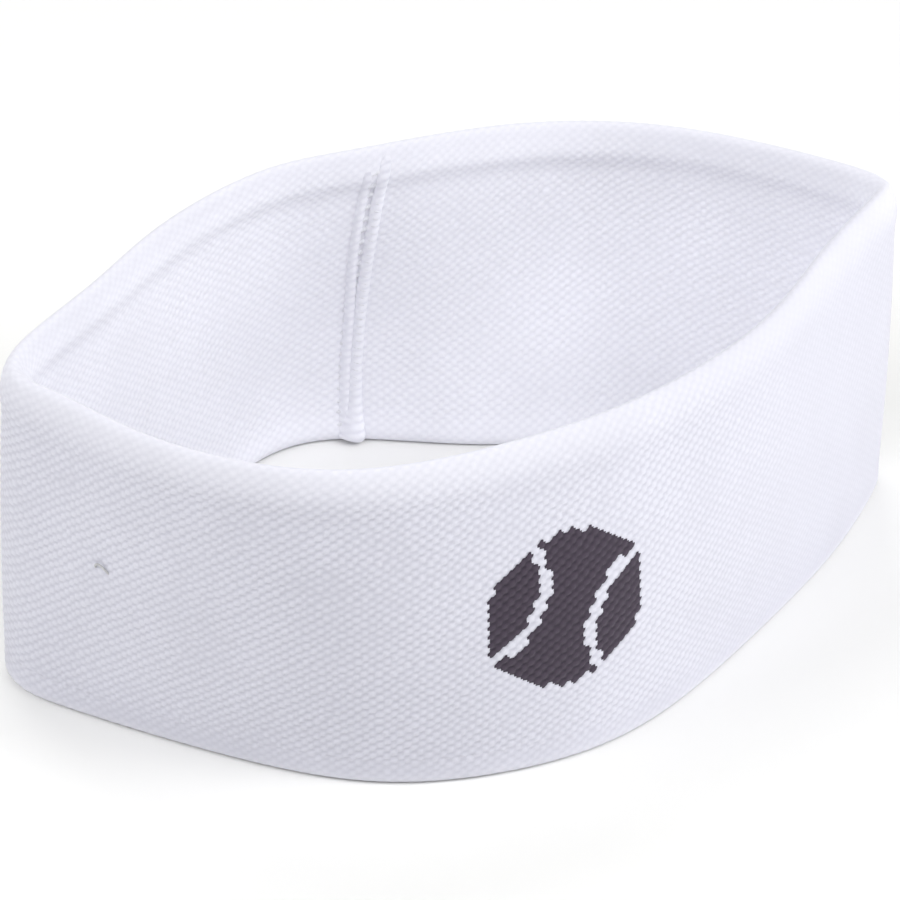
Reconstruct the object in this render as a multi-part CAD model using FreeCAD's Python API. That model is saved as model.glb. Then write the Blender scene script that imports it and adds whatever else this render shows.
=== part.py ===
import FreeCAD
import Part

# Knitted sports headband, standing on its bottom edge as a relaxed ring.
# Millimetres. +X runs from crease to crease, -Y is the side with the ball
# emblem, +Y the side with the seam, +Z is up. The origin is on the surface
# that the band stands on, below the middle of its box.

import math
import os

# Driving dimensions
HEIGHT = 60.0
LAYER = 1.25            # one thickness of knit
GAP = 0.7               # room between the two layers for the elastic
BULGE = 2.0             # how far the wall swells outward at mid-height
CREASES = (0.0, 10.0)   # places of the left and the right crease, in control points
CREASE_BULGE = 0.4      # how far the wall swells outward there
CREASE_REACH = 1.3      # and how far from a crease it is this flat, in control points
ROLL_HEIGHT = 5.0       # height of the rounded fold along each edge
ROLL_HALF = 2.1         # half the thickness of a fold
REST_HALF = 0.5         # half the width of the flat that the fold stands on
CENTRE = (-0.7, 3.45)   # moves the plan so that the origin is below the box's middle

# Control points of the plan, a closed cubic B-spline on the middle of the
# wall, from the left crease along the front to the right crease and back.
# Each is (x, y, lean), where lean is how much further out the top edge is.
PLAN = [
    (-80, -2, 0), (-75, -9, -1), (-65, -28, 6), (-48, -47, 5), (-30, -55, -1),
    (-4, -56, -5), (16, -50, -2), (41, -36, 2), (60, -20, -3), (78, -5, 1),
    (79, -3, 1), (80, 4, -5), (64, 23, -2), (48, 34, 4), (26, 39, 12),
    (0, 48, -6), (-15, 49, -5), (-39, 34, 2), (-55, 21, -1), (-77, 9, -4),
]

# Soft swells of the whole wall, each (place on the plan, height, half its
# length in control points, half its height, how it slopes, how far outward)
WAVES = [(15.0, 44.0, 2.0, 16.0, -8.0, -1.2), (11.7, 5.0, 1.5, 14.0, 0.0, -1.0)]

RING_POINTS = 100       # points that each ring of a surface passes through
WALL_LEVELS = 5         # rings from the bottom to the top of a wall
SEWING = 0.001          # surfaces this close meet edge to edge

# Elastic laid between the layers, one flat strand above another, each of
# them all round the band with its ends caught in the seam
ELASTIC_COUNT = 9
ELASTIC_FIRST = 8.0
ELASTIC_PITCH = 5.5
ELASTIC_THICK = 0.5
ELASTIC_TALL = 1.2

# Ball emblem knitted into the outer layer on the front
EMBLEM_U = 4.91         # place round the plan, in control points
EMBLEM_Z = 29.0
EMBLEM_RADIUS = 14.0
EMBLEM_DEPTH = 0.6
EMBLEM_PROUD = 0.1
CURVE_RADIUS = 12.5     # of the two light lines on the ball
CURVE_OFFSET = 17.5     # from the ball's middle to each line's middle
CURVE_WIDTH = 1.9
FLOAT_THICK = 0.3
CLEAR = 0.05            # between pieces that fit into each other

# Seam across the back, where the ends of the knitted strip meet. It curves
# to the left on its way down.
SEAM_U_TOP = 14.76
SEAM_U_BOTTOM = 15.06
SEAM_SLIT = 0.3
FLAP_WIDTH = 1.7
FLAP_HIGH = 1.5
FLAP_END = 1.5          # left free above and below the flaps
THREAD = 0.36
STITCH_PITCH = 2.4
STITCH_LONG = 1.7
OVERLOCK_PITCH = 1.5

FACE = GAP / 2 + LAYER  # from the middle of the wall to either face


def plan(u):
    """Middle of the wall in plan, its direction and its lean at u."""
    start = math.floor(u)
    t = u - start
    weights = (
        (1 - t) ** 3 / 6,
        (3 * t ** 3 - 6 * t ** 2 + 4) / 6,
        (-3 * t ** 3 + 3 * t ** 2 + 3 * t + 1) / 6,
        t ** 3 / 6,
    )
    slopes = (
        -((1 - t) ** 2) / 2,
        (3 * t ** 2 - 4 * t) / 2,
        (-3 * t ** 2 + 2 * t + 1) / 2,
        t ** 2 / 2,
    )
    near = [PLAN[(start + i - 1) % len(PLAN)] for i in range(4)]
    x, y, lean = (sum(w * p[k] for w, p in zip(weights, near)) for k in range(3))
    along = FreeCAD.Vector(
        sum(s * p[0] for s, p in zip(slopes, near)),
        sum(s * p[1] for s, p in zip(slopes, near)),
        0,
    ).normalize()
    return FreeCAD.Vector(x + CENTRE[0], y + CENTRE[1], 0), along, lean


def outward(along):
    """Unit vector out of the band, square to its direction."""
    return FreeCAD.Vector(along.y, -along.x, 0)


def away(u, place):
    """Distance round the plan from a place to u, in control points."""
    half = len(PLAN) / 2
    return (u - place + half) % len(PLAN) - half


def bulge(u):
    """How far the wall swells outward at mid-height at u."""
    near = sum(math.exp(-((away(u, crease) / CREASE_REACH) ** 2)) for crease in CREASES)
    return BULGE + (CREASE_BULGE - BULGE) * near


def wave(u, z):
    """How far the soft swells move the wall outward."""
    out = 0
    for place, high, length, tall, slope, depth in WAVES:
        along = away(u, place)
        rise = z - high - slope * along
        out += depth * math.exp(-((along / length) ** 2) - (rise / tall) ** 2)
    return out


def wall_point(u, offset, z):
    """Point at a height and at an offset outward from the middle of the wall."""
    middle, along, lean = plan(u)
    share = z / HEIGHT
    out = lean * (share - 0.5) + bulge(u) * 4 * share * (1 - share) + wave(u, z) + offset
    return middle + outward(along) * out + FreeCAD.Vector(0, 0, z)


def ring(offset, z):
    """Closed level curve round the band."""
    step = len(PLAN) / RING_POINTS
    points = [wall_point(i * step, offset, z) for i in range(RING_POINTS)]
    curve = Part.BSplineCurve()
    curve.interpolate(Points=points, PeriodicFlag=True)
    return Part.Wire(curve.toShape())


def skin(profile):
    """Smooth surface through one ring for each (offset, height) of a profile."""
    return Part.makeLoft([ring(offset, z) for offset, z in profile], False, len(profile) < 3)


def annulus(inside, outside, z):
    """Level face between two offsets."""
    face = Part.Face([ring(outside, z), ring(inside, z)])
    face.validate()
    return face


def closed_solid(surfaces):
    """Solid from surfaces that meet edge to edge."""
    shell = Part.Shell([face for surface in surfaces for face in surface.Faces])
    shell.sewShape(SEWING)
    solid = Part.Solid(shell)
    solid.fix(SEWING, SEWING, SEWING)
    return solid


def levels(low, high):
    """Even heights from low to high."""
    return [low + (high - low) * i / (WALL_LEVELS - 1) for i in range(WALL_LEVELS)]


def band(inside, outside, low, high):
    """Solid all round the band between two offsets and two heights."""
    return closed_solid([
        skin([(outside, z) for z in levels(low, high)]),
        skin([(inside, z) for z in levels(low, high)]),
        annulus(inside, outside, low),
        annulus(inside, outside, high),
    ])


def edge_roll(at_top):
    """Rounded fold that turns the outer layer into the inner one at an edge."""
    def level(z):
        return HEIGHT - z if at_top else z

    half = ROLL_HALF
    side = [
        (FACE, ROLL_HEIGHT), (0.97 * half, 3.6), (half, 2.3),
        (0.8 * half, 0.8), (REST_HALF, 0.0),
    ]
    hollow = [(GAP / 2, ROLL_HEIGHT), (0.7, 3.4), (0.6, 2.0), (0.15, LAYER)]
    out_side = [(offset, level(z)) for offset, z in side]
    in_side = [(-offset, level(z)) for offset, z in side]
    out_hollow = [(offset, level(z)) for offset, z in hollow]
    in_hollow = [(-offset, level(z)) for offset, z in hollow]
    return closed_solid([
        skin(out_side),
        annulus(-REST_HALF, REST_HALF, level(0)),
        skin(in_side),
        annulus(-FACE, -GAP / 2, level(ROLL_HEIGHT)),
        skin(in_hollow),
        annulus(-hollow[-1][0], hollow[-1][0], level(LAYER)),
        skin(out_hollow),
        annulus(GAP / 2, FACE, level(ROLL_HEIGHT)),
    ])


def seam_u(z):
    """Place of the seam at a height."""
    return SEAM_U_BOTTOM + (SEAM_U_TOP - SEAM_U_BOTTOM) * (z / HEIGHT) ** 2


def seam_point(across, offset, z):
    """Point near the seam, across it to the left and out from the wall."""
    u = seam_u(z)
    return wall_point(u, offset, z) + plan(u)[1] * across


def seam_prism(across_low, across_high, offset_low, offset_high, z_low, z_high):
    """Bar that follows the seam, through a section at each wall level."""
    sections = []
    for z in levels(z_low, z_high):
        corners = [
            seam_point(across_low, offset_low, z),
            seam_point(across_high, offset_low, z),
            seam_point(across_high, offset_high, z),
            seam_point(across_low, offset_high, z),
        ]
        sections.append(Part.makePolygon(corners + corners[:1]))
    return Part.makeLoft(sections, True, False)


def open_at_seam(solid):
    """Ring with the slit where its two ends meet."""
    past = 1.0
    slit = seam_prism(-SEAM_SLIT / 2, SEAM_SLIT / 2, -4, 4, -past, HEIGHT + past)
    return solid.cut(slit)


def emblem_prism(shrink):
    """Ball outline less its two curved lines, as a bar through the front wall."""
    _, along, _ = plan(EMBLEM_U)
    out = outward(along)
    start = wall_point(EMBLEM_U, -5, EMBLEM_Z)
    start.z = EMBLEM_Z
    length = 20
    ball = Part.makeCylinder(EMBLEM_RADIUS - shrink, length, start, out)
    for side in (-1, 1):
        tilt = FreeCAD.Vector(along.x, along.y, -0.35).normalize()
        middle = start + tilt * (side * CURVE_OFFSET)
        wide = Part.makeCylinder(CURVE_RADIUS + CURVE_WIDTH / 2 + shrink, length, middle, out)
        slim = Part.makeCylinder(CURVE_RADIUS - CURVE_WIDTH / 2 - shrink, length, middle, out)
        ball = ball.cut(wide.cut(slim))
    return ball


def outer_layer():
    """Knit on the outside, with the pocket that the emblem is knitted into."""
    layer = band(GAP / 2, FACE, ROLL_HEIGHT, HEIGHT - ROLL_HEIGHT)
    low = EMBLEM_Z - EMBLEM_RADIUS - 1
    high = EMBLEM_Z + EMBLEM_RADIUS + 1
    pocket = band(FACE - EMBLEM_DEPTH, FACE + 1, low, high).common(emblem_prism(0))
    return open_at_seam(layer.cut(pocket))


def inner_layer():
    """Knit on the inside, next to the head."""
    return open_at_seam(band(-FACE, -GAP / 2, ROLL_HEIGHT, HEIGHT - ROLL_HEIGHT))


def emblem():
    """Dark knit of the ball, in three pieces parted by the light lines."""
    low = EMBLEM_Z - EMBLEM_RADIUS - 1
    high = EMBLEM_Z + EMBLEM_RADIUS + 1
    shell = band(FACE - EMBLEM_DEPTH + CLEAR, FACE + EMBLEM_PROUD, low, high)
    return shell.common(emblem_prism(CLEAR))


def elastic_heights():
    """Middle height of each elastic strand."""
    return [ELASTIC_FIRST + ELASTIC_PITCH * i for i in range(ELASTIC_COUNT)]


def elastic_strands():
    """Elastic strands between the layers."""
    half = ELASTIC_TALL / 2
    thick = ELASTIC_THICK / 2
    strands = [band(-thick, thick, z - half, z + half) for z in elastic_heights()]
    return Part.makeCompound([open_at_seam(strand) for strand in strands])


def emblem_floats():
    """Dark yarn that runs loose behind the emblem, between the elastic strands."""
    reach = emblem_prism(0).BoundBox
    floats = []
    for z in elastic_heights():
        middle = z + ELASTIC_PITCH / 2
        rise = middle - EMBLEM_Z
        if abs(rise) > EMBLEM_RADIUS - 2:
            continue
        half = math.sqrt(EMBLEM_RADIUS ** 2 - rise ** 2) - 1
        strand = band(-FLOAT_THICK / 2, FLOAT_THICK / 2, middle - FLOAT_THICK, middle + FLOAT_THICK)
        centre = plan(EMBLEM_U)[0]
        window = Part.makeBox(
            2 * half, reach.YLength, 4 * FLOAT_THICK,
            FreeCAD.Vector(centre.x - half, reach.YMin, middle - 2 * FLOAT_THICK),
        )
        floats.append(strand.common(window))
    return Part.makeCompound(floats)


def seam_flap(side):
    """One turned-in end of the strip, a ridge on the inside beside the slit."""
    near = side * SEAM_SLIT / 2
    far = side * (SEAM_SLIT / 2 + FLAP_WIDTH)
    base = -ROLL_HALF - CLEAR
    low, high = sorted((near, far))
    return seam_prism(low, high, base - FLAP_HIGH, base, FLAP_END, HEIGHT - FLAP_END)


def thread(start, end):
    """Short straight length of thread with rounded ends."""
    line = end - start
    rod = Part.makeCylinder(THREAD / 2, line.Length, start, line)
    return rod.fuse([Part.makeSphere(THREAD / 2, start), Part.makeSphere(THREAD / 2, end)])


def seam_stitches():
    """Row of stitches beside the left flap that closes the seam."""
    across = SEAM_SLIT / 2 + FLAP_WIDTH + THREAD
    depth = -FACE - THREAD / 2 - 2 * CLEAR
    count = int((HEIGHT - 2 * ROLL_HEIGHT) / STITCH_PITCH)
    stitches = []
    for i in range(count):
        z = ROLL_HEIGHT + STITCH_PITCH * (i + 0.5)
        low = seam_point(across, depth, z - STITCH_LONG / 2)
        high = seam_point(across, depth, z + STITCH_LONG / 2)
        stitches.append(thread(low, high))
    return Part.makeCompound(stitches)


def overlock_thread():
    """Slanting thread that binds the raw edges of both flaps."""
    reach = SEAM_SLIT / 2 + FLAP_WIDTH - THREAD
    depth = -ROLL_HALF - FLAP_HIGH - THREAD / 2 - 2 * CLEAR
    count = int((HEIGHT - 2 * ROLL_HEIGHT) / OVERLOCK_PITCH)
    loops = []
    for i in range(count):
        z = ROLL_HEIGHT + OVERLOCK_PITCH * (i + 0.5)
        left = seam_point(reach, depth, z - OVERLOCK_PITCH / 4)
        right = seam_point(-reach, depth, z + OVERLOCK_PITCH / 4)
        loops.append(thread(left, right))
    return Part.makeCompound(loops)


PIECES = {
    "outer_layer": outer_layer,
    "inner_layer": inner_layer,
    "top_edge_roll": lambda: open_at_seam(edge_roll(True)),
    "bottom_edge_roll": lambda: open_at_seam(edge_roll(False)),
    "elastic_strands": elastic_strands,
    "ball_emblem": emblem,
    "emblem_floats": emblem_floats,
    "seam_flap_left": lambda: seam_flap(1),
    "seam_flap_right": lambda: seam_flap(-1),
    "seam_stitches": seam_stitches,
    "overlock_thread": overlock_thread,
}


def main():
    os.makedirs("parts", exist_ok=True)
    for name, make in PIECES.items():
        shape = make()
        shape.exportStep("parts/" + name + ".step")
        print(name, len(shape.Solids), "solids", round(shape.Volume / 1000, 2), "cm3", shape.isValid())


main()
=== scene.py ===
import math

import bpy
import numpy as np
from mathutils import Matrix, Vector


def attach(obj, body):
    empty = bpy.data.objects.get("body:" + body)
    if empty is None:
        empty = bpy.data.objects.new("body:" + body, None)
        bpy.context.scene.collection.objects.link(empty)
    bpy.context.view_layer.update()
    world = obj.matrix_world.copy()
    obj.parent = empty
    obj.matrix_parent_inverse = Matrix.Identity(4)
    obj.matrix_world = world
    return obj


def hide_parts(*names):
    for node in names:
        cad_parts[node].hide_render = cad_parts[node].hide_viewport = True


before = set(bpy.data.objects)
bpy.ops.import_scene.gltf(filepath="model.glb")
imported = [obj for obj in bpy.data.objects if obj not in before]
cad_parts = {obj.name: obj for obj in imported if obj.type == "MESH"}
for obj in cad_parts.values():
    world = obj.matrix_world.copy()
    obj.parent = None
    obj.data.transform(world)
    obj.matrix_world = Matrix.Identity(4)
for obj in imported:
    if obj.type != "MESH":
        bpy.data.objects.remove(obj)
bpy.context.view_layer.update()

# Lengths are in millimetres, as in the CAD, until a mesh or an object is made.
MM = 0.001

# The relaxed ring, as the CAD has it: control points of the plan, each (x, y, lean)
HEIGHT = 60.0
FACE = 1.6              # from the wall's middle to either face
BULGE = 2.0             # how far the wall swells outward at mid-height
CREASE_BULGE = 0.4      # the same at the two creases
CREASES = (0.0, 10.0)   # their places on the plan
CREASE_REACH = 1.3      # and how far round from them this reaches, in control points
CENTRE = (-0.7, 3.45)   # moves the plan's points to where the ring stands
PLAN = [
    (-80, -2, 0), (-75, -9, -1), (-65, -28, 6), (-48, -47, 5), (-30, -55, -1),
    (-4, -56, -5), (16, -50, -2), (41, -36, 2), (60, -20, -3), (78, -5, 1),
    (79, -3, 1), (80, 4, -5), (64, 23, -2), (48, 34, 4), (26, 39, 12),
    (0, 48, -6), (-15, 49, -5), (-39, 34, 2), (-55, 21, -1), (-77, 9, -4),
]
# Soft swells of the whole wall, each (place on the plan, height, half its
# length in control points, half its height, how it slopes, how far outward)
WAVES = [(15.0, 44.0, 2.0, 16.0, -8.0, -1.2), (11.7, 5.0, 1.5, 14.0, 0.0, -1.0)]
SEAM_U = 15.06          # place of the seam's foot on the plan
SEAM_LEAN = 6.1         # how far right the seam's head is of its foot
SEAM_REACH = 28.0       # the cloth is skewed by the seam over about this distance
EMBLEM_U = 4.91         # the ball emblem on the front
EMBLEM_Z = 29.0
EMBLEM_RADIUS = 14.0
CURVE_RADIUS = 12.5     # of the two light lines on the ball
CURVE_OFFSET = 17.5     # from the ball's middle to each line's middle
CURVE_WIDTH = 1.9
CURVE_DROP = 0.35       # how steeply the lines' middles slope down to the right

# Profile of the folded strip
FOOT_HALF = 1.75        # how far the bottom fold stands out from the wall's middle
FOOT_HALF_INSIDE = 2.1  # and in from it
TOP_HALF = 1.95         # how far the top fold stands out
TOP_HALF_INSIDE = 2.6   # and in
TOP_RISE = 4.8          # height of the rounded part of the top fold
FOOT_RISE = 1.3         # of the bottom fold on the outside, pressed flat by standing
FOOT_RISE_INSIDE = 2.4  # and on the inside
NECK = 2.5              # a fold thins down to the wall over about this height

# Points of the tables that turn distances into places
ARC_POINTS = 4001       # round the band
TURN_POINTS = 60        # round half a fold
FACE_POINTS = 80        # up half the wall

# Knit: columns of stitches round the band, rows up and over the folds
COLUMNS = 366
ROWS = 77
ROLL_ROWS = 4           # rows of a fold on each side of its edge
COLUMN_STEPS = 3        # mesh steps in a column
ROW_STEPS = 4           # mesh steps in a row
RELIEF = 0.15           # half the depth of the knit
FOLD_RELIEF = 0.35      # share of it on the folds, where the knit is stretched
RIGHT_RELIEF = 0.3      # and on the outside near the right crease
STRONG = 0.54           # share of the ridges that rise to the right, on the outside
STRONG_INSIDE = 0.5     # and on the inside
RIB = 0.2               # share of the upright ribs
PIT_SHARP = 2.0         # above 1, pits are small and stitches broad
UNEVEN = 0.27           # how far stitches stray from their even places, in columns
TENSION = 0.22          # how much their height varies
NOISE_SIZE = 64         # random values in each direction before they repeat
BACK_STEP = 2           # back faces are coarser than the front by this in rows
BACK_COLUMN_STEP = 6    # and by this in columns
CLOTH = 1.05            # thickness of one layer
FLAT = 0.35             # mean height of the knit
FOLD_REACH = 7.6        # the folds' knit is stretched this far in from an edge
REST_REACH = 0.8        # the knit is pressed flat this far up from the floor
RIGHT_FROM = 205.0      # the outside gets smoother from this distance from the seam
RIGHT_TO = 300.0        # and rougher again from the right crease
RIGHT_OVER = 55.0       # each over this distance

# Light is painted into the knit's colour: paler on the top fold and at the foot,
# and palest inside. Each change begins at a place round the profile and goes over a distance.
RIM_FROM = 53.0
RIM_OVER = 8.5
RIM_PAINTED_LIGHT = 0.5
RIM_LESS = 0.45         # share of the rim's painted light that is taken away towards the right crease, where the lamps light the rim more
RIM_LESS_FROM = 165.0   # from this distance from the seam
RIM_LESS_OVER = 70.0
RIM_LESS_END = 20.0     # and back again over this distance before the crease
INSIDE_FROM = 62.5
INSIDE_OVER = 5.0
# light painted in at the foot, against the shade near the floor
FOOT_OVER = 4.0
FOOT_PAINTED_LIGHT = 0.7

# Where the ends of the strip meet
GROOVE = 0.9            # how deep the outside dips
GROOVE_WIDE = 0.8
GROOVE_FADE = 6.0       # it fades out over this distance from an edge
CHANNEL = 0.15          # how far the inside swells between the seam's two ridges
CHANNEL_AT = 0.75
CHANNEL_WIDE = 0.9
OPEN_FROM = 22.0        # the channel opens above this height
OPEN_OVER = 22.0
OPEN_LEAST = 0.2
SMOOTH_BESIDE = 1.2     # no knit shows this close to where the ends meet

# Stitches knitted in dark yarn
POCKET = 0.3            # how far the white knit dips under them
EMBLEM_LIFT = 0.12      # they stand this far proud
EMBLEM_DEEP = 0.22      # thickness of the dark knit below its face

# Ridges of the turned-in ends, inside the back
RIDGE_STEP = 0.22       # mean distance between rings of points
RIDGE_SIDES = 28        # points in a ring
RIDGE_END = 1.6         # how far from its foot a ridge rounds off
RIDGE_FADE = 8.0        # it sinks into the rim over this distance from its head
RIDGE_TAPER = 4.0       # and narrows over this one
RIDGE_LESS_LIGHT = 0.35       # how much less light is painted into it near its head
RIDGE_LESS_LIGHT_FROM = 50.0  # from this height
RIDGE_LESS_LIGHT_OVER = 6.0
RIDGE_COLUMNS = 1.5     # columns of stitches in half its girth
RIDGE_ROW = 1.6         # height of a row of them
RIDGE_RELIEF = 0.06     # depth of its knit, as a share of its size
RIDGE_SUNK = 0.5        # how deep its underside is in the inner knit
RIDGE_FOOT = 7.0        # the right ridge widens towards its foot below this height
TIP_SHIFT = 0.6         # how far right the foot's tip leans
# Their middles, half widths, heights and steepness of flanks, each with how
# much it grows: the right ridge towards its foot, the left one where the
# channel opens; and the heights that they reach from and to
RIGHT_RIDGE = [(-1.0, 0.55), (1.15, 1.2), (1.1, 0.9), (1.0, 0.4)]
RIGHT_RIDGE_ENDS = (0.15, HEIGHT - 0.8)
LEFT_RIDGE = [(0.35, 1.45), (1.15, -0.2), (0.85, -0.25), (1.6, 0.0)]
LEFT_RIDGE_ENDS = (1.2, HEIGHT - 1.6)

# Stitches that close the seam, and loops of thread that bind its raw ends
STITCH_THICK = 1.15
STITCH_PITCH = 2.35
STITCH_FIRST = 4.0
STITCHES = 23
STITCH_SUNK = 0.5       # how much deeper they lie at the rim
STITCH_SWAY = 0.15      # how far they stray from their even heights
BINDING_THICK = 0.3
BINDING_PITCH = 1.5
BINDING_FIRST = 6.0
BINDING_LOOPS = 30
THREAD_SLANT = 0.3      # rise of a thread for each millimetre across
SNAG_THICK = 0.38       # yarn of the snagged loop

# Studio: angles in degrees, the camera's target and distance in millimetres,
# the lights and the floor in metres
CAMERA_AZIMUTH = -24.52
CAMERA_ELEVATION = 31.6
CAMERA_AWAY = 900.0
CAMERA_TARGET = (-21.06, -38.9, 53.7)
CAMERA_LENS = 226.0     # focal length in millimetres
LIGHT_AWAY = 1.2
FLOOR_HALF = 3.0
WORLD_STRENGTH = 0.175
# Each softbox: name, azimuth, elevation, side, power in watts
SOFTBOXES = [
    ("low_right_softbox", 60, 12, 0.6, 6.9), ("front_right_softbox", 35, 50, 0.7, 6.8),
    ("front_left_softbox", -40, 50, 0.7, 3.2), ("left_softbox", -95, 33, 0.7, 6.0),
    ("back_softbox", 170, 50, 0.7, 4.9),
]


def smooth(x):
    """Smooth step from 0 to 1."""
    x = np.clip(x, 0, 1)
    return x * x * (3 - 2 * x)


# ---------------------------------------------------------------- the ring

def plan(u):
    """Middle of the wall, outward normal and lean at places u of the plan, a closed cubic B-spline."""
    u = np.asarray(u, float)
    start = np.floor(u).astype(int)
    t = u - start
    poles = np.array(PLAN, float)
    weights = [(1 - t) ** 3, 3 * t ** 3 - 6 * t ** 2 + 4, -3 * t ** 3 + 3 * t ** 2 + 3 * t + 1, t ** 3]
    slopes = [-((1 - t) ** 2), 3 * t ** 2 - 4 * t, -3 * t ** 2 + 2 * t + 1, t ** 2]
    at = sum(w[..., None] * poles[(start + i - 1) % len(PLAN)] for i, w in enumerate(weights)) / 6
    along = sum(w[..., None] * poles[(start + i - 1) % len(PLAN), :2] for i, w in enumerate(slopes))
    along /= np.linalg.norm(along, axis=-1, keepdims=True)
    outward = np.stack([along[..., 1], -along[..., 0]], -1)
    return at[..., :2] + np.array(CENTRE), outward, at[..., 2]


def arc_table():
    """Places of the plan and their distance round the band, from the seam and back to it."""
    u = SEAM_U + np.linspace(0, len(PLAN), ARC_POINTS)
    middle = plan(u)[0]
    steps = np.linalg.norm(np.diff(middle, axis=0), axis=1)
    return u, np.concatenate([[0], np.cumsum(steps)])


ARC_U, ARC_S = arc_table()
AROUND = ARC_S[-1]


def arc_of(u):
    """Distance from the seam, along the front, of a place of the plan."""
    return float(np.interp(u if u > SEAM_U else u + len(PLAN), ARC_U, ARC_S))


def half_thickness(from_edge, rise, half):
    """Half the band's thickness in from an edge, whose rounded part is this high and half thick."""
    cap = half * np.sqrt(np.clip(1 - (1 - from_edge / rise) ** 2, 0, 1))
    wall = FACE + (half - FACE) * np.exp(-(((from_edge - rise) / NECK) ** 2))
    return np.where(from_edge < rise, cap, wall)


def face_table(foot_rise, foot_half, top_half):
    """Offset and height of one face of the band, from the bottom edge to the top edge."""
    turn = np.linspace(0, math.pi / 2, TURN_POINTS)
    foot = foot_rise * (1 - np.cos(turn))
    top = TOP_RISE * (1 - np.cos(turn))
    low = np.concatenate([foot, np.linspace(foot_rise, HEIGHT / 2, FACE_POINTS)[1:]])
    high = np.concatenate([top, np.linspace(TOP_RISE, HEIGHT / 2, FACE_POINTS)[1:-1]])
    below = half_thickness(low, foot_rise, foot_half)
    above = half_thickness(high, TOP_RISE, top_half)
    return np.concatenate([below, above[::-1]]), np.concatenate([low, HEIGHT - high[::-1]])


def profile_table():
    """Offset and height round the profile: up the outside, over the top, down the inside."""
    outside, outside_z = face_table(FOOT_RISE, FOOT_HALF, TOP_HALF)
    inside, inside_z = face_table(FOOT_RISE_INSIDE, FOOT_HALF_INSIDE, TOP_HALF_INSIDE)
    offset = np.concatenate([outside, -inside[-2::-1]])
    z = np.concatenate([outside_z, inside_z[-2::-1]])
    steps = np.hypot(np.diff(z), np.diff(offset))
    return np.concatenate([[0], np.cumsum(steps)]), offset, z


PROFILE_V, PROFILE_O, PROFILE_Z = profile_table()
ROUND_PROFILE = PROFILE_V[-1]


def away(u, place):
    """How far places of the plan are from another one, the shorter way round."""
    half = len(PLAN) / 2
    return (u - place + half) % len(PLAN) - half


def wave(u, z):
    """How far the soft swells move the wall outward."""
    out = 0
    for at, high, length, tall, slope, depth in WAVES:
        along = away(u, at)
        rise = z - high - slope * along
        out = out + depth * np.exp(-((along / length) ** 2) - (rise / tall) ** 2)
    return out


def bulge(u):
    """How far the wall swells outward at mid-height at places u of the plan."""
    near = sum(np.exp(-((away(u, at) / CREASE_REACH) ** 2)) for at in CREASES)
    return BULGE + (CREASE_BULGE - BULGE) * near


def wall_point(s, offset, z):
    """Points of the band at distances s from the seam, offsets outward and heights z."""
    share = z / HEIGHT
    near = np.minimum(s, AROUND - s)
    skew = -SEAM_LEAN * share ** 2 * np.exp(-((near / SEAM_REACH) ** 2))
    u = np.interp((s + skew) % AROUND, ARC_S, ARC_U)
    middle, outward, lean = plan(u)
    out = lean * (share - 0.5) + bulge(u) * 4 * share * (1 - share) + wave(u, z) + offset
    xy = middle + outward * out[..., None]
    return np.concatenate([xy, z[..., None]], -1)


# ---------------------------------------------------------------- the knit

def soft_noise(x, y, seed):
    """Smooth random values from -1 to 1, one for each whole step of x and of y."""
    size = NOISE_SIZE
    table = np.random.default_rng(seed).uniform(-1, 1, (size, size))
    left, low = np.floor(x).astype(int), np.floor(y).astype(int)
    a, b = smooth(x - left), smooth(y - low)
    corner = [table[(left + i) % size, (low + j) % size] for i in (0, 1) for j in (0, 1)]
    return (corner[0] * (1 - b) + corner[1] * b) * (1 - a) + (corner[2] * (1 - b) + corner[3] * b) * a


def knit_relief(column, row, strong=STRONG):
    """Height of the knit, from -1 in a pit to 1 on a stitch."""
    column = column + UNEVEN * soft_noise(column / 1.7, row * 1.3, 3)
    row = row + UNEVEN / 2 * soft_noise(column / 2.1, row * 1.1, 4)
    across = math.pi * column
    up = 2 * math.pi * row
    diagonal = strong * np.cos(across - up) + (1 - strong) * np.cos(across + up)
    height = diagonal * (1 - RIB) + RIB * np.cos(2 * across)
    pit = np.clip((1 - height) / 2, 0, 1) ** PIT_SHARP
    tension = 1 + TENSION * soft_noise(column / 1.3, row * 1.6, 5)
    tension = tension + TENSION * soft_noise(column / 9, row / 5, 6)
    return (1 - 2 * pit) * tension


def grid_normals(points):
    """Unit normals of a grid of points, out of the cloth."""
    along = np.gradient(points, axis=0)
    up = np.gradient(points, axis=1)
    normal = np.cross(along, up)
    return normal / np.linalg.norm(normal, axis=-1, keepdims=True)


def open_share(z):
    """How open the seam's channel is at a height: fully at the top, closing downwards."""
    return OPEN_LEAST + (1 - OPEN_LEAST) * smooth((z - OPEN_FROM) / OPEN_OVER)


def seam_dips(s, z, outside, in_from_edge):
    """How deep the outside dips over the seam, and how far the inside swells in its channel."""
    near = np.minimum(s, AROUND - s)
    groove = GROOVE * np.exp(-((near / GROOVE_WIDE) ** 2)) * outside * smooth(in_from_edge / GROOVE_FADE)
    channel = CHANNEL * np.exp(-(((s - CHANNEL_AT) / CHANNEL_WIDE) ** 2)) * (1 - outside) * open_share(z)
    return groove, channel


def near_right(s):
    """How near a place is to the right crease, from 0 to 1."""
    return smooth((s - RIGHT_FROM) / RIGHT_OVER) - smooth((s - RIGHT_TO) / RIGHT_OVER)


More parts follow.
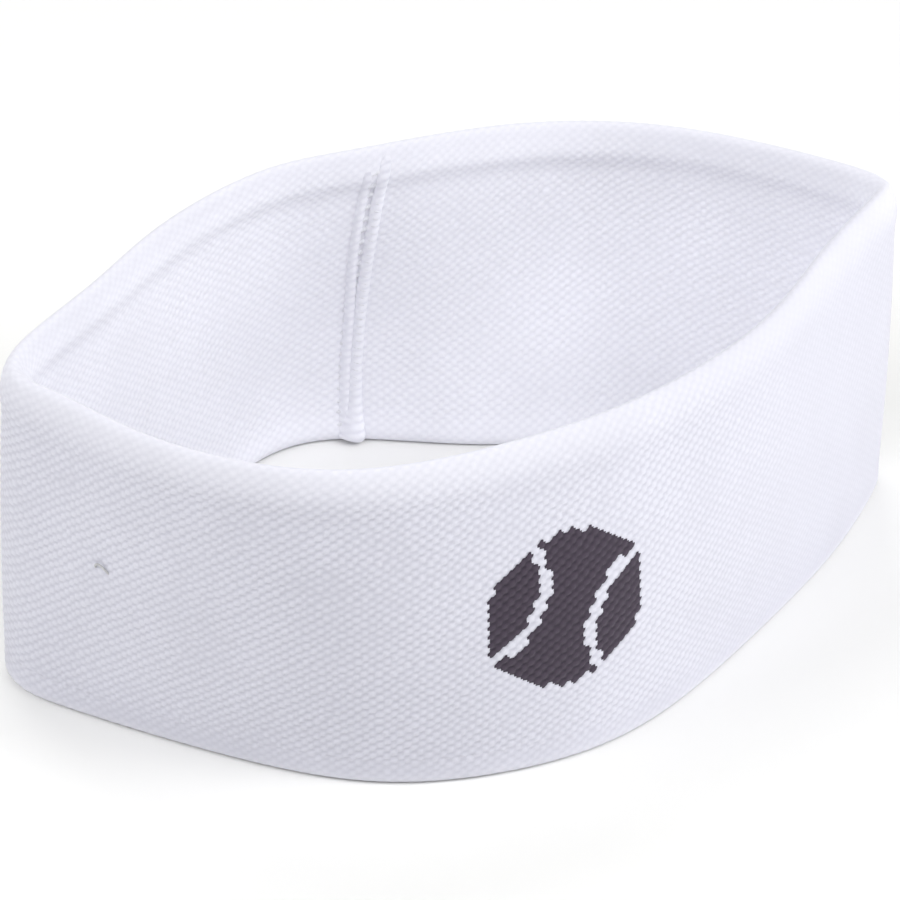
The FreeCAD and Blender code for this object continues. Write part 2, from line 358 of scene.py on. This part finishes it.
def painted_light_share(s, v):
    """How much light is painted into the knit at places along and round the strip: 0 on the outside, 1
    inside.
    """
    less = smooth((s - RIM_LESS_FROM) / RIM_LESS_OVER) * smooth((RIGHT_TO - s) / RIM_LESS_END)
    rim_painted_light = RIM_PAINTED_LIGHT * (1 - RIM_LESS * less)
    rim = rim_painted_light * smooth((v - RIM_FROM) / RIM_OVER)
    inside = (1 - rim_painted_light) * smooth((v - INSIDE_FROM) / INSIDE_OVER)
    to_foot = smooth((v - ROUND_PROFILE + FOOT_OVER) / FOOT_OVER)
    foot = FOOT_PAINTED_LIGHT * (1 - smooth(v / FOOT_OVER))
    return (rim + inside) * (1 - to_foot) + FOOT_PAINTED_LIGHT * to_foot + foot


def knit_share(s, in_from_edge, outside):
    """How strong the knit's relief is at a place: less on the folds and near the right crease."""
    fold = smooth(1 - in_from_edge / FOLD_REACH)
    return (1 + (FOLD_RELIEF - 1) * fold) * (1 + (RIGHT_RELIEF - 1) * near_right(s) * outside)


def stitch_of(column, row):
    """Column and row of the middle of the stitch that a place belongs to."""
    rising = np.round((column + 2 * row) / 2)
    falling = np.round((column - 2 * row) / 2)
    return rising + falling, (rising - falling) / 2


def dark_cells(column, row):
    """Which cells of a grid belong to stitches that are knitted in dark yarn."""
    up_outside = len(PROFILE_Z) // 2
    middle_v = np.interp(EMBLEM_Z, PROFILE_Z[:up_outside], PROFILE_V[:up_outside])
    home = stitch_of(arc_of(EMBLEM_U) / AROUND * COLUMNS, middle_v / ROUND_PROFILE * ROWS)
    stitch = stitch_of(column, row)
    x = (stitch[0] - home[0]) * AROUND / COLUMNS
    y = (stitch[1] - home[1]) * ROUND_PROFILE / ROWS
    dark = np.hypot(x, y) < EMBLEM_RADIUS
    reach = CURVE_OFFSET / math.hypot(1, CURVE_DROP)
    for side in (-1, 1):
        from_middle = np.hypot(x - side * reach, y + side * CURVE_DROP * reach)
        dark &= np.abs(from_middle - CURVE_RADIUS) > CURVE_WIDTH / 2
    return dark


def cloth_grid():
    """The whole strip as one grid, columns by rows, with its knit and its normals."""
    column = np.arange(COLUMNS * COLUMN_STEPS + 1) / COLUMN_STEPS
    row = np.arange(-ROLL_ROWS * ROW_STEPS, (ROWS + ROLL_ROWS) * ROW_STEPS + 1) / ROW_STEPS
    column, row = np.meshgrid(column, row, indexing="ij")
    s = column / COLUMNS * AROUND
    v = (row % ROWS) / ROWS * ROUND_PROFILE
    offset = np.interp(v, PROFILE_V, PROFILE_O)
    z = np.interp(v, PROFILE_V, PROFILE_Z)
    outside = smooth((offset + 1.0) / 2.0)      # 1 on the outer face, 0 on the inner
    in_from_edge = np.minimum(z, HEIGHT - z)
    groove, channel = seam_dips(s, z, outside, in_from_edge)
    base = wall_point(s, offset - groove - channel, z)
    out = grid_normals(base)
    # light painted into the knit's colour, carried by the mesh to the material; it also blends the
    # knit's slant from outside to inside
    painted_light = painted_light_share(s, v)
    share = knit_share(s, in_from_edge, outside)
    relief = knit_relief(column, row, STRONG + (STRONG_INSIDE - STRONG) * painted_light)
    clear_of_seam = 1 - np.exp(-((np.minimum(s, AROUND - s) / SMOOTH_BESIDE) ** 2))
    depth = RELIEF * share * clear_of_seam * smooth(z / REST_REACH)
    points = base + out * (relief * depth)[..., None]
    # the knit's height, which the material also turns into painted shade in the pits
    relief = FLAT + (relief - FLAT) * share
    middle = (slice(None, -1), slice(None, -1))
    half_cell = (0.5 / COLUMN_STEPS, 0.5 / ROW_STEPS)
    dark = dark_cells(column[middle] + half_cell[0], row[middle] + half_cell[1])
    return {
        "points": points, "base": base, "out": out, "normals": grid_normals(points),
        "relief": relief, "painted_light": painted_light, "column": column, "row": row, "dark": pad_cells(dark),
    }


def pad_cells(cells):
    """Cells as an array of the grid's own size, with an empty last column and row."""
    return np.pad(cells, ((0, 1), (0, 1)))


def surrounded(dark):
    """Points of a grid with dark cells on all four sides."""
    around = dark.copy()
    around[1:] &= dark[:-1]
    around[:, 1:] &= around[:, :-1] & dark[:, :-1]
    return around


def new_object(name, points, faces, normals=None, values=None, uv=None):
    """Mesh object from millimetre points, with smooth faces."""
    mesh = bpy.data.meshes.new(name)
    mesh.from_pydata((np.asarray(points) * MM).tolist(), [], faces)
    mesh.polygons.foreach_set("use_smooth", [True] * len(mesh.polygons))
    for key, value in (values or {}).items():
        layer = mesh.attributes.new(key, "FLOAT", "POINT")
        layer.data.foreach_set("value", np.asarray(value, np.float32))
    if uv is not None:
        layer = mesh.uv_layers.new(name="knit")
        corner = np.zeros(len(mesh.loops), np.int32)
        mesh.loops.foreach_get("vertex_index", corner)
        layer.data.foreach_set("uv", np.asarray(uv, np.float32)[corner].ravel())
    mesh.validate()
    if normals is not None:
        mesh.normals_split_custom_set_from_vertices(np.asarray(normals).tolist())
    obj = bpy.data.objects.new(name, mesh)
    bpy.context.collection.objects.link(obj)
    return obj


def grid_faces(count_a, count_b, start=0, flip=False):
    """Quads of a grid whose second index runs fastest."""
    a, b = np.meshgrid(np.arange(count_a - 1), np.arange(count_b - 1), indexing="ij")
    first = (start + a * count_b + b).ravel()
    quads = np.stack([first, first + count_b, first + count_b + 1, first + 1], -1)
    return (quads[:, ::-1] if flip else quads).tolist()


def rim_faces(front_edge, back_edge, step, flip=False):
    """Faces that close a rim: each joins some steps of the front's edge to one of the back's."""
    order = -1 if flip else 1
    faces = []
    for i in range(len(back_edge) - 1):
        front_part = front_edge[i * step:(i + 1) * step + 1].tolist()
        back_part = [int(back_edge[i + 1]), int(back_edge[i])]
        faces.append(front_part[::order] + back_part[::order])
    return faces


def cloth_piece(name, grid, first_row, last_row):
    """Closed piece of the cloth between two rows: knitted front, plain back, rims."""
    low = int((first_row + ROLL_ROWS) * ROW_STEPS)
    high = int((last_row + ROLL_ROWS) * ROW_STEPS)
    cut = {key: value[:, low:high + 1] for key, value in grid.items()}
    coarse = (slice(None, None, BACK_COLUMN_STEP), slice(None, None, BACK_STEP))

    def front_and_back(key):
        return np.concatenate([cut[key].ravel(), cut[key][coarse].ravel()])

    sunk = cut["out"] * (POCKET * surrounded(cut["dark"]))[..., None]
    front_points = (cut["points"] - sunk).reshape(-1, 3)
    back_points = (cut["base"] - cut["out"] * CLOTH)[coarse].reshape(-1, 3)
    # the points' numbers, as two grids
    front = np.arange(len(front_points)).reshape(cut["relief"].shape)
    back = front.size + np.arange(len(back_points)).reshape(cut["relief"][coarse].shape)
    faces = grid_faces(*front.shape) + grid_faces(*back.shape, front.size, flip=True)
    faces += rim_faces(front[:, 0], back[:, 0], BACK_COLUMN_STEP, flip=True)
    faces += rim_faces(front[:, -1], back[:, -1], BACK_COLUMN_STEP)
    faces += rim_faces(front[0], back[0], BACK_STEP)
    faces += rim_faces(front[-1], back[-1], BACK_STEP, flip=True)
    points = np.concatenate([front_points, back_points])
    normals = np.concatenate([cut["normals"].reshape(-1, 3), -cut["out"][coarse].reshape(-1, 3)])
    values = {key: front_and_back(key) for key in ("relief", "painted_light")}
    uv = np.stack([front_and_back("column"), front_and_back("row")], -1)
    return new_object(name, points, faces, normals, values, uv)


def emblem_piece(name, grid):
    """Closed piece of the stitches knitted in dark yarn, with its edge on the white knit's edge."""
    dark = grid["dark"]
    inner = surrounded(dark)
    a, b = np.nonzero(dark)
    corners = [(a, b), (a + 1, b), (a + 1, b + 1), (a, b + 1)]
    width = dark.shape[1]
    quads = np.stack([i * width + j for i, j in corners], -1)
    used, quads = np.unique(quads, return_inverse=True)
    quads = quads.reshape(-1, 4)
    inside = inner.ravel()[used]
    out = grid["out"].reshape(-1, 3)[used]
    relief = grid["relief"].ravel()[used]
    lift = EMBLEM_LIFT * inside * (1 + relief) / 2
    top = grid["points"].reshape(-1, 3)[used] + out * lift[:, None]
    under = np.nonzero(inside)[0]
    place = np.arange(len(used))
    place[under] = len(used) + np.arange(len(under))
    bottom = grid["base"].reshape(-1, 3)[used][under] - out[under] * EMBLEM_DEEP
    faces = quads.tolist() + place[quads][:, ::-1].tolist()
    normals = np.concatenate([grid["normals"].reshape(-1, 3)[used], -out[under]])
    values = {"relief": np.concatenate([relief, relief[under]])}
    return new_object(name, np.concatenate([top, bottom]), faces, normals, values)


def seam_place(across, inward, z):
    """Points beside the seam: across it to the left, and inward from the inner face."""
    across, inward, z = np.broadcast_arrays(across, inward, z)
    below = half_thickness(z, FOOT_RISE_INSIDE, FOOT_HALF_INSIDE)
    above = half_thickness(HEIGHT - z, TOP_RISE, TOP_HALF_INSIDE)
    offset = -np.where(z < HEIGHT / 2, below, above) - inward
    return wall_point(across, offset, z)


def rounded(x):
    """Rise from 0 to 1 like a quarter of a circle."""
    return np.sqrt(1 - (1 - np.clip(x, 0, 1)) ** 2)


def tube_mesh(name, points, values):
    """Closed mesh through rings of points, the first and last ring shut by a face."""
    rings, sides = points.shape[:2]
    at = np.arange(rings * sides).reshape(rings, sides)
    beside = np.roll(at, -1, axis=1)
    quads = np.stack([at[:-1], at[1:], beside[1:], beside[:-1]], -1).reshape(-1, 4)
    faces = quads.tolist() + [at[0].tolist(), at[-1][::-1].tolist()]
    return new_object(name, points.reshape(-1, 3), faces, values=values)


def foot_share(z):
    """How far the ridge has widened towards its foot at a height."""
    return np.exp(-((z / RIDGE_FOOT) ** 2))


def seam_ridge(name, sizes, growth, ends):
    """Puffy knitted ridge along the seam, whose sizes grow with a function of the height."""
    low_end, high_end = ends
    steps = int((high_end - low_end) / RIDGE_STEP)
    z = low_end + (high_end - low_end) * (1 - np.cos(np.linspace(0, math.pi, steps))) / 2
    z = z[:, None]
    turn = np.linspace(0, 2 * math.pi, RIDGE_SIDES, endpoint=False)[None, :]
    foot = rounded((z - low_end) / RIDGE_END)
    wide = foot * rounded((high_end - z) / RIDGE_TAPER)
    end = foot * smooth((high_end - z) / RIDGE_FADE)
    relief = knit_relief(RIDGE_COLUMNS * turn / math.pi, z / RIDGE_ROW) * (np.sin(turn) > 0)
    puff = 1 + RIDGE_RELIEF * relief
    middle, half, high, flank = [size + grown * growth(z) for size, grown in sizes]
    swell = np.abs(np.sin(turn)) ** flank
    across = middle + half * wide * np.cos(turn) * puff - TIP_SHIFT * foot_share(z) * swell
    rise = np.where(np.sin(turn) > 0, high * puff, -RIDGE_SUNK) * end
    points = seam_place(across, rise * swell, z)
    # light painted into the ridge as into the inner knit, less of it near its head
    painted_light = 1 - RIDGE_LESS_LIGHT * smooth((z - RIDGE_LESS_LIGHT_FROM) / RIDGE_LESS_LIGHT_OVER) * np.ones_like(turn)
    return tube_mesh(name, points, {"relief": relief.ravel(), "painted_light": painted_light.ravel()})


def yarn_piece(name, routes, thick):
    """Smooth round yarns through points in millimetres."""
    curve = bpy.data.curves.new(name, "CURVE")
    curve.dimensions = "3D"
    curve.bevel_depth = thick / 2 * MM
    curve.bevel_resolution = 2
    curve.use_fill_caps = True
    for route in routes:
        spline = curve.splines.new("NURBS")
        spline.points.add(len(route) - 1)
        for point, place in zip(spline.points, route):
            point.co = (*(Vector(place) * MM), 1)
        spline.order_u = 3
        spline.use_endpoint_u = True
        spline.resolution_u = 4
    obj = bpy.data.objects.new(name, curve)
    bpy.context.collection.objects.link(obj)
    return obj


# ---------------------------------------------------------------- materials

def new_material(name):
    """Node material with its Principled shader."""
    material = bpy.data.materials.new(name)
    material.use_nodes = True
    return material, material.node_tree, material.node_tree.nodes["Principled BSDF"]


def add_node(tree, kind, **settings):
    """Node with some of its sockets set by name."""
    node = tree.nodes.new(kind)
    for key, value in settings.items():
        node.inputs[key.replace("_", " ")].default_value = value
    return node


def mixed(tree, factor, first, second, blend="MIX"):
    """Mix of two colours, each a colour or a socket, by a socket or a number."""
    node = tree.nodes.new("ShaderNodeMix")
    node.data_type = "RGBA"
    node.blend_type = blend
    for key, value in (("Factor", factor), ("A", first), ("B", second)):
        if isinstance(value, bpy.types.NodeSocket):
            tree.links.new(value, node.inputs[key])
        elif key == "Factor":
            node.inputs[key].default_value = value
        else:
            node.inputs[key].default_value = (*value, 1)
    return node.outputs["Result"]


def attribute(tree, name):
    """A value that the mesh carries at its points."""
    node = tree.nodes.new("ShaderNodeAttribute")
    node.attribute_name = name
    return node.outputs["Fac"]


def knit_material(name, bump, pit, cloth, lit_pit=None, painted_light=None):
    """Knit: darker in the pits as painted shade, paler where the mesh carries painted light, with yarn
    plies and loose fibres as bump.
    """
    material, tree, shader = new_material(name)
    link = tree.links.new
    # painted shade: from the pit colour in the knit's pits to the cloth colour on its stitches
    spread = add_node(tree, "ShaderNodeMapRange", From_Min=-0.9, From_Max=0.75)
    link(attribute(tree, "relief"), spread.inputs["Value"])
    # painted light: both colours turn to paler ones where the mesh carries painted light
    if painted_light:
        inside = attribute(tree, "painted_light")
        pit = mixed(tree, inside, pit, lit_pit)
        cloth = mixed(tree, inside, cloth, painted_light)
    colour = mixed(tree, spread.outputs["Result"], pit, cloth)
    place = tree.nodes.new("ShaderNodeTexCoord")
    blotch = add_node(tree, "ShaderNodeTexNoise", Scale=60.0, Detail=3.0)
    link(place.outputs["Object"], blotch.inputs["Vector"])
    tone = add_node(tree, "ShaderNodeMapRange", From_Min=0.3, From_Max=0.7, To_Min=0.965, To_Max=1.0)
    link(blotch.outputs["Fac"], tone.inputs["Value"])
    link(mixed(tree, 1.0, colour, tone.outputs["Result"], "MULTIPLY"), shader.inputs["Base Color"])
    fibre = add_node(tree, "ShaderNodeTexNoise", Scale=2600.0, Detail=4.0, Roughness=0.65)
    link(place.outputs["Object"], fibre.inputs["Vector"])
    raised = add_node(tree, "ShaderNodeBump", Strength=bump, Distance=0.00012)
    link(fibre.outputs["Fac"], raised.inputs["Height"])
    link(raised.outputs["Normal"], shader.inputs["Normal"])
    shader.inputs["Roughness"].default_value = 0.92
    shader.inputs["Specular IOR Level"].default_value = 0.15
    shader.inputs["Sheen Weight"].default_value = 0.25
    shader.inputs["Sheen Roughness"].default_value = 0.5
    return material


def plain_cloth_material(name, colour, scale, roughness=0.9):
    """Thread, yarn or elastic: fine fibres as bump and a slight change of tone."""
    material, tree, shader = new_material(name)
    link = tree.links.new
    place = tree.nodes.new("ShaderNodeTexCoord")
    noise = add_node(tree, "ShaderNodeTexNoise", Scale=scale, Detail=4.0)
    link(place.outputs["Object"], noise.inputs["Vector"])
    ramp = tree.nodes.new("ShaderNodeValToRGB")
    ramp.color_ramp.elements[0].position = 0.3
    ramp.color_ramp.elements[0].color = (*(0.8 * c for c in colour), 1)
    ramp.color_ramp.elements[1].position = 0.7
    ramp.color_ramp.elements[1].color = (*colour, 1)
    link(noise.outputs["Fac"], ramp.inputs["Fac"])
    link(ramp.outputs["Color"], shader.inputs["Base Color"])
    raised = add_node(tree, "ShaderNodeBump", Strength=0.4, Distance=0.0001)
    link(noise.outputs["Fac"], raised.inputs["Height"])
    link(raised.outputs["Normal"], shader.inputs["Normal"])
    shader.inputs["Roughness"].default_value = roughness
    shader.inputs["Specular IOR Level"].default_value = 0.2
    return material


# the pit colours are painted shade in the pits; lit_pit and painted_light are the colours with light
# painted in
WHITE_KNIT = knit_material(
    "white_knit", 0.35, pit=(0.465, 0.465, 0.545), cloth=(0.70, 0.70, 0.78),
    lit_pit=(0.74, 0.74, 0.82), painted_light=(0.905, 0.905, 0.965),
)
# its pit colour is painted shade in the dark knit's pits
DARK_KNIT = knit_material("dark_knit", 0.5, pit=(0.010, 0.006, 0.015), cloth=(0.065, 0.05, 0.073))
ELASTIC = plain_cloth_material("elastic", (0.78, 0.76, 0.66), 900.0, 0.7)
DARK_YARN = plain_cloth_material("dark_yarn", (0.05, 0.038, 0.055), 1800.0)
THREAD = plain_cloth_material("sewing_thread", (0.87, 0.87, 0.92), 2500.0, 0.8)
SNAG_YARN = plain_cloth_material("snagged_yarn", (0.62, 0.62, 0.63), 2500.0)


def dress(obj, material, slot, *nodes):
    """Gives a piece its material and its body, and hides what it stands for; the slot is not used."""
    obj.data.materials.clear()
    obj.data.materials.append(material)
    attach(obj, "root")
    if nodes:
        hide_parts(*nodes)
    return obj


# ---------------------------------------------------------------- the pieces

def make_cloth():
    """The four zones of the folded strip."""
    grid = cloth_grid()
    half = ROWS / 2
    roll = ROLL_ROWS
    zones = [
        ("outer_knit", roll, half - roll, "white_knit", "outer_layer"),
        ("top_edge_knit", half - roll, half + roll, "edge_knit", "top_edge_roll"),
        ("inner_knit", half + roll, ROWS - roll, "inner_knit", "inner_layer"),
        ("bottom_edge_knit", ROWS - roll, ROWS + roll, "edge_knit", "bottom_edge_roll"),
    ]
    for name, low, high, slot, node in zones:
        obj = cloth_piece(name, grid, low, high)
        dress(obj, WHITE_KNIT, slot, node)
        on_it = []
        if name == "outer_knit":
            emblem = emblem_piece("ball_emblem_knit", grid)
            on_it = [dress(emblem, DARK_KNIT, "dark_yarn", "ball_emblem"), make_snag()]


def make_seam():
    """Both turned-in ends, the stitches between them and the thread that binds them."""
    right = seam_ridge("right_seam_ridge", RIGHT_RIDGE, foot_share, RIGHT_RIDGE_ENDS)
    dress(right, WHITE_KNIT, "edge_knit", "seam_flap_right")
    left = seam_ridge("left_seam_ridge", LEFT_RIDGE, open_share, LEFT_RIDGE_ENDS)
    dress(left, WHITE_KNIT, "edge_knit", "seam_flap_left")
    stitches = yarn_piece("seam_stitch_thread", stitch_routes(), STITCH_THICK)
    dress(stitches, THREAD, "sewing_thread", "seam_stitches")
    binding = yarn_piece("binding_thread", binding_routes(), BINDING_THICK)
    dress(binding, THREAD, "sewing_thread", "overlock_thread")


def stitch_routes():
    """Stitches across the channel, from one turned-in end to the other."""
    # each point (across, inward)
    dip = [(-0.6, -0.35), (0.0, 0.0), (CHANNEL_AT, -0.13), (1.4, -0.13), (1.9, -0.5)]
    routes = []
    for i in range(STITCHES):
        z = STITCH_FIRST + STITCH_PITCH * i
        sway = STITCH_SWAY * math.sin(2.3 * i)
        sunk = STITCH_SUNK * (1 - float(smooth((HEIGHT - z) / RIDGE_FADE)))
        routes.append([
            seam_place(across, inward - sunk, z + sway + THREAD_SLANT * (CHANNEL_AT - across)).tolist()
            for across, inward in dip
        ])
    return routes


def binding_routes():
    """Loops of thread over the right ridge, half sunk in it."""
    # each point (across, inward)
    arch = [(-2.0, -0.3), (-1.9, 0.6), (-1.0, 1.2), (-0.1, 0.6), (-0.05, -0.3)]
    routes = []
    for i in range(BINDING_LOOPS):
        z = BINDING_FIRST + BINDING_PITCH * i
        routes.append([
            seam_place(across, inward, z + THREAD_SLANT * (across + 1)).tolist()
            for across, inward in arch
        ])
    return routes


def make_snag():
    """Small loop pulled out of the front near the left crease."""
    # each point (distance from the seam, how far out, height)
    loop = [
        (116.9, 1.0, 31.9), (117.0, 1.6, 32.4), (117.3, 2.1, 33.2), (118.0, 2.3, 33.8),
        (118.8, 2.2, 33.5), (119.4, 1.9, 32.7), (119.7, 1.5, 32.0), (119.8, 1.0, 31.6),
    ]
    route = [wall_point(np.array(s), offset, np.array(z)).tolist() for s, offset, z in loop]
    return dress(yarn_piece("snagged_loop", [route], SNAG_THICK), SNAG_YARN, "white_knit")


def cover_cad_nodes():
    """Finish of the CAD pieces that stay."""
    finishes = {"elastic_strands": ELASTIC, "emblem_floats": DARK_YARN}
    for name, material in finishes.items():
        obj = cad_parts[name]
        obj.data.materials.clear()
        obj.data.materials.append(material)


# ---------------------------------------------------------------- the studio

def back_from(azimuth, elevation):
    """Unit vector from the object towards a viewer at these angles, in degrees."""
    a, e = math.radians(azimuth), math.radians(elevation)
    return Vector((math.sin(a) * math.cos(e), -math.cos(a) * math.cos(e), math.sin(e)))


def link_facing(obj, back):
    """Adds a camera or light that looks the other way from a direction."""
    obj.rotation_mode = "QUATERNION"
    obj.rotation_quaternion = (-back).to_track_quat("-Z", "Y")
    bpy.context.collection.objects.link(obj)


def make_camera():
    """Long lens that looks down at the front from the left."""
    data = bpy.data.cameras.new("camera")
    data.lens = CAMERA_LENS
    data.clip_start = 0.05
    data.clip_end = 20
    camera = bpy.data.objects.new("camera", data)
    back = back_from(CAMERA_AZIMUTH, CAMERA_ELEVATION)
    camera.location = (Vector(CAMERA_TARGET) + back * CAMERA_AWAY) * MM
    link_facing(camera, back)
    bpy.context.scene.camera = camera


def make_light(name, azimuth, elevation, size, power):
    """Soft square light that faces the band."""
    data = bpy.data.lights.new(name, "AREA")
    data.shape = "SQUARE"
    data.size = size
    data.energy = power
    light = bpy.data.objects.new(name, data)
    back = back_from(azimuth, elevation)
    light.location = back * LIGHT_AWAY
    link_facing(light, back)


def make_floor():
    """White ground that the band stands on."""
    half = FLOOR_HALF
    corners = [(-half, -half, 0), (half, -half, 0), (half, half, 0), (-half, half, 0)]
    mesh = bpy.data.meshes.new("floor")
    mesh.from_pydata(corners, [], [(0, 1, 2, 3)])
    floor = bpy.data.objects.new("floor", mesh)
    bpy.context.collection.objects.link(floor)
    material, _, shader = new_material("floor")
    shader.inputs["Base Color"].default_value = (0.90, 0.90, 0.885, 1)
    shader.inputs["Roughness"].default_value = 0.9
    shader.inputs["Specular IOR Level"].default_value = 0.1
    mesh.materials.append(material)


def make_studio():
    """Plain white world, five softboxes and the floor."""
    world = bpy.data.worlds.new("studio")
    world.use_nodes = True
    world.node_tree.nodes["Background"].inputs["Color"].default_value = (1, 1, 1, 1)
    world.node_tree.nodes["Background"].inputs["Strength"].default_value = WORLD_STRENGTH
    bpy.context.scene.world = world
    bpy.context.scene.view_settings.view_transform = "Standard"
    for softbox in SOFTBOXES:
        make_light(*softbox)
    make_floor()


make_camera()
make_studio()
make_cloth()
make_seam()
cover_cad_nodes()
